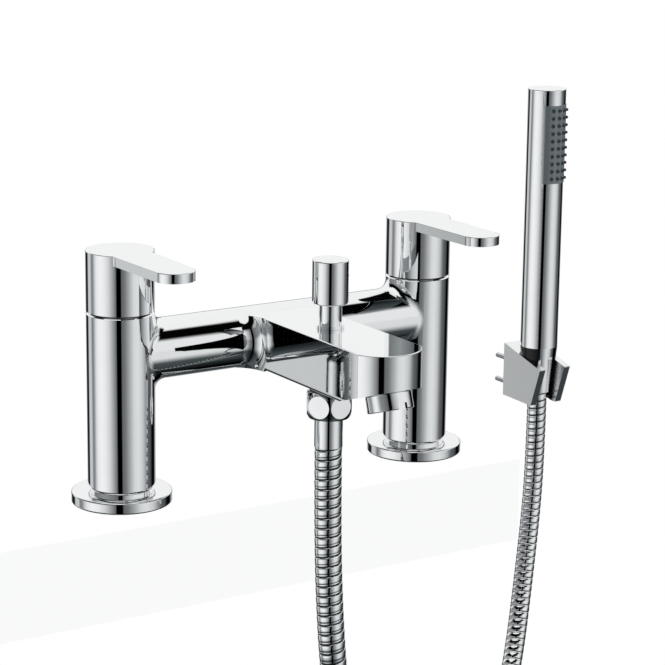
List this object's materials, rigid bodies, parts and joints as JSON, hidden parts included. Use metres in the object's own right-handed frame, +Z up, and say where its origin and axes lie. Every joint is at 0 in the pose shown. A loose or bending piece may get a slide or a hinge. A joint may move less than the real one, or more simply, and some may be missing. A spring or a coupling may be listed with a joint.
{
  "type": "bath shower mixer",
  "caption": "Deck-mounted bath shower mixer: twin pillars, bridge and bar spout, lever handles, pull-up diverter, ribbed hose, round handset in a wall bracket.",
  "frame": {"origin": "on the deck's top, midway between the two inlets", "axes": "+Z up, +X along the bridge from the hot to the cold pillar, -Y out over the bath along the spout"},
  "size_m": [0.5388, 0.469, 0.6422],
  "materials": {
    "chrome": "polished chrome plating",
    "hose_steel": "chromed convoluted steel",
    "brass": "machined brass",
    "steel": "plain stainless steel",
    "black_rubber": "matt",
    "nozzle_rubber": "soft matt silicone",
    "white_plastic": "moulded",
    "black_plastic": "moulded, satin",
    "ceramic": null
  },
  "bodies": {
    "root": {"aerator_housing": "chrome", "aerator_insert": "white_plastic", "aerator_washer": "black_rubber", "backnuts": "brass", "bracket_body": "chrome", "bracket_insert": "black_plastic", "bracket_screws": "steel", "cold_base_flange": "chrome", "cold_base_gasket": "black_rubber", "cold_cartridge_body": "brass", "cold_cartridge_o_ring": "black_rubber", "cold_fixed_disc": "ceramic", "cold_inlet_tail": "brass", "cold_seat_seal": "black_rubber", "deck_washers": "steel", "diverter_bonnet": "chrome", "diverter_o_rings": "black_rubber", "diverter_spring": "steel", "hose_coil": "hose_steel", "hose_ferrule": "chrome", "hose_leg_handset": "hose_steel", "hose_leg_mixer": "hose_steel", "hose_nut": "chrome", "hose_tie": "black_rubber", "hose_washer": "black_rubber", "hot_base_flange": "chrome", "hot_base_gasket": "black_rubber", "hot_cartridge_body": "brass", "hot_cartridge_o_ring": "black_rubber", "hot_fixed_disc": "ceramic", "hot_inlet_tail": "brass", "hot_seat_seal": "black_rubber", "mixer_body": "chrome", "shower_outlet_spigot": "brass"},
    "hot_handle": {"hot_lever": "chrome", "hot_spindle": "brass", "hot_moving_disc": "ceramic", "hot_spindle_clip": "steel", "hot_grub_screw": "steel", "hot_screw_cap": "chrome"},
    "cold_handle": {"cold_lever": "chrome", "cold_spindle": "brass", "cold_moving_disc": "ceramic", "cold_spindle_clip": "steel", "cold_grub_screw": "steel", "cold_screw_cap": "chrome"},
    "diverter": {"diverter_knob": "chrome", "diverter_stem": "brass", "diverter_valve_washers": "black_rubber"},
    "hose_end": {"hose_end_ferrule": "brass"},
    "handset": {"handset_cone_nut": "chrome", "handset_tube": "chrome", "handset_cap": "chrome", "nozzle_panel": "nozzle_rubber", "spray_housing": "white_plastic", "handset_inlet": "brass", "handset_washer": "black_rubber"}
  },
  "joints": [
    {"name": "hot_lever_turn", "type": "hinge", "parent": "root", "child": "hot_handle", "pos_m": [-0.09, 0, 0.1], "axis": [0, 0, -1], "range_deg": [0, 90]},
    {"name": "cold_lever_turn", "type": "hinge", "parent": "root", "child": "cold_handle", "pos_m": [0.09, 0, 0.1], "axis": [0, 0, 1], "range_deg": [0, 90]},
    {"name": "diverter_lift", "type": "slide", "parent": "root", "child": "diverter", "axis": [0, 0, 1], "range_m": [0, 0.009], "deforming": ["diverter_spring"]},
    {"name": "handset_lift", "type": "slide", "parent": "root", "child": "hose_end", "axis": [0, 0, 1], "range_m": [0, 0.045]},
    {"name": "handset_turn", "type": "hinge", "parent": "hose_end", "child": "handset", "pos_m": [0.4094, 0.3004, 0], "axis": [0, 0, 1], "continuous": true}
  ]
}
